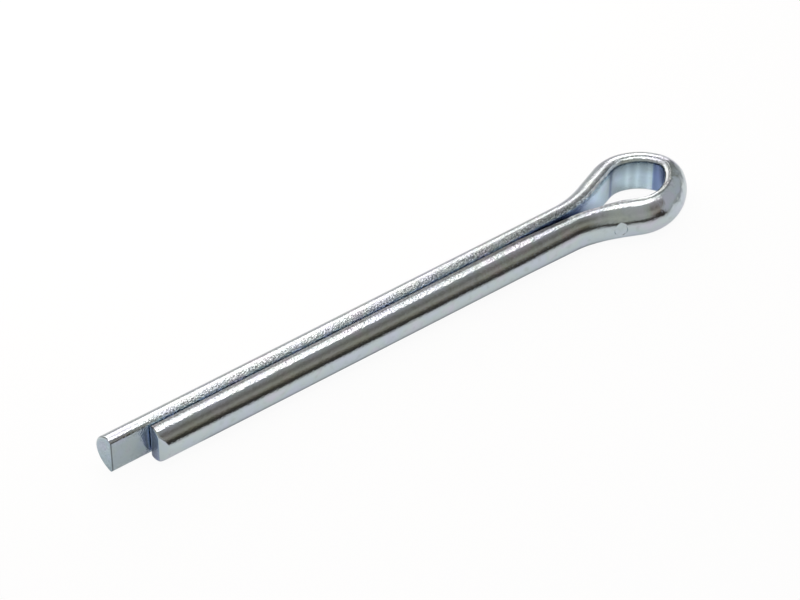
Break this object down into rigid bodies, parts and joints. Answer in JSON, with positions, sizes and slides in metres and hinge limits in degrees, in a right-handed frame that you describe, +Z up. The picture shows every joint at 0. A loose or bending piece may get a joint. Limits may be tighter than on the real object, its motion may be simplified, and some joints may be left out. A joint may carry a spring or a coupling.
{
  "type": "cotter pin",
  "caption": "Split cotter pin of bent half-round steel wire, with an eye, a round two-leg shank and legs of unequal length, for locking a pin or nut through a drilled hole.",
  "frame": {"origin": "on the shank's axis, where the longer leg leaves the neck of the eye", "axes": "+X along the shank towards the tips, +Z up along the axis of the eye, so the pin lies flat"},
  "size_m": [0.0512, 0.0074, 0.0036],
  "materials": {
    "zinc_steel": "bright blue-white zinc plating on drawn wire"
  },
  "bodies": {
    "root": {"cotter_pin": "zinc_steel"}
  },
  "joints": []
}
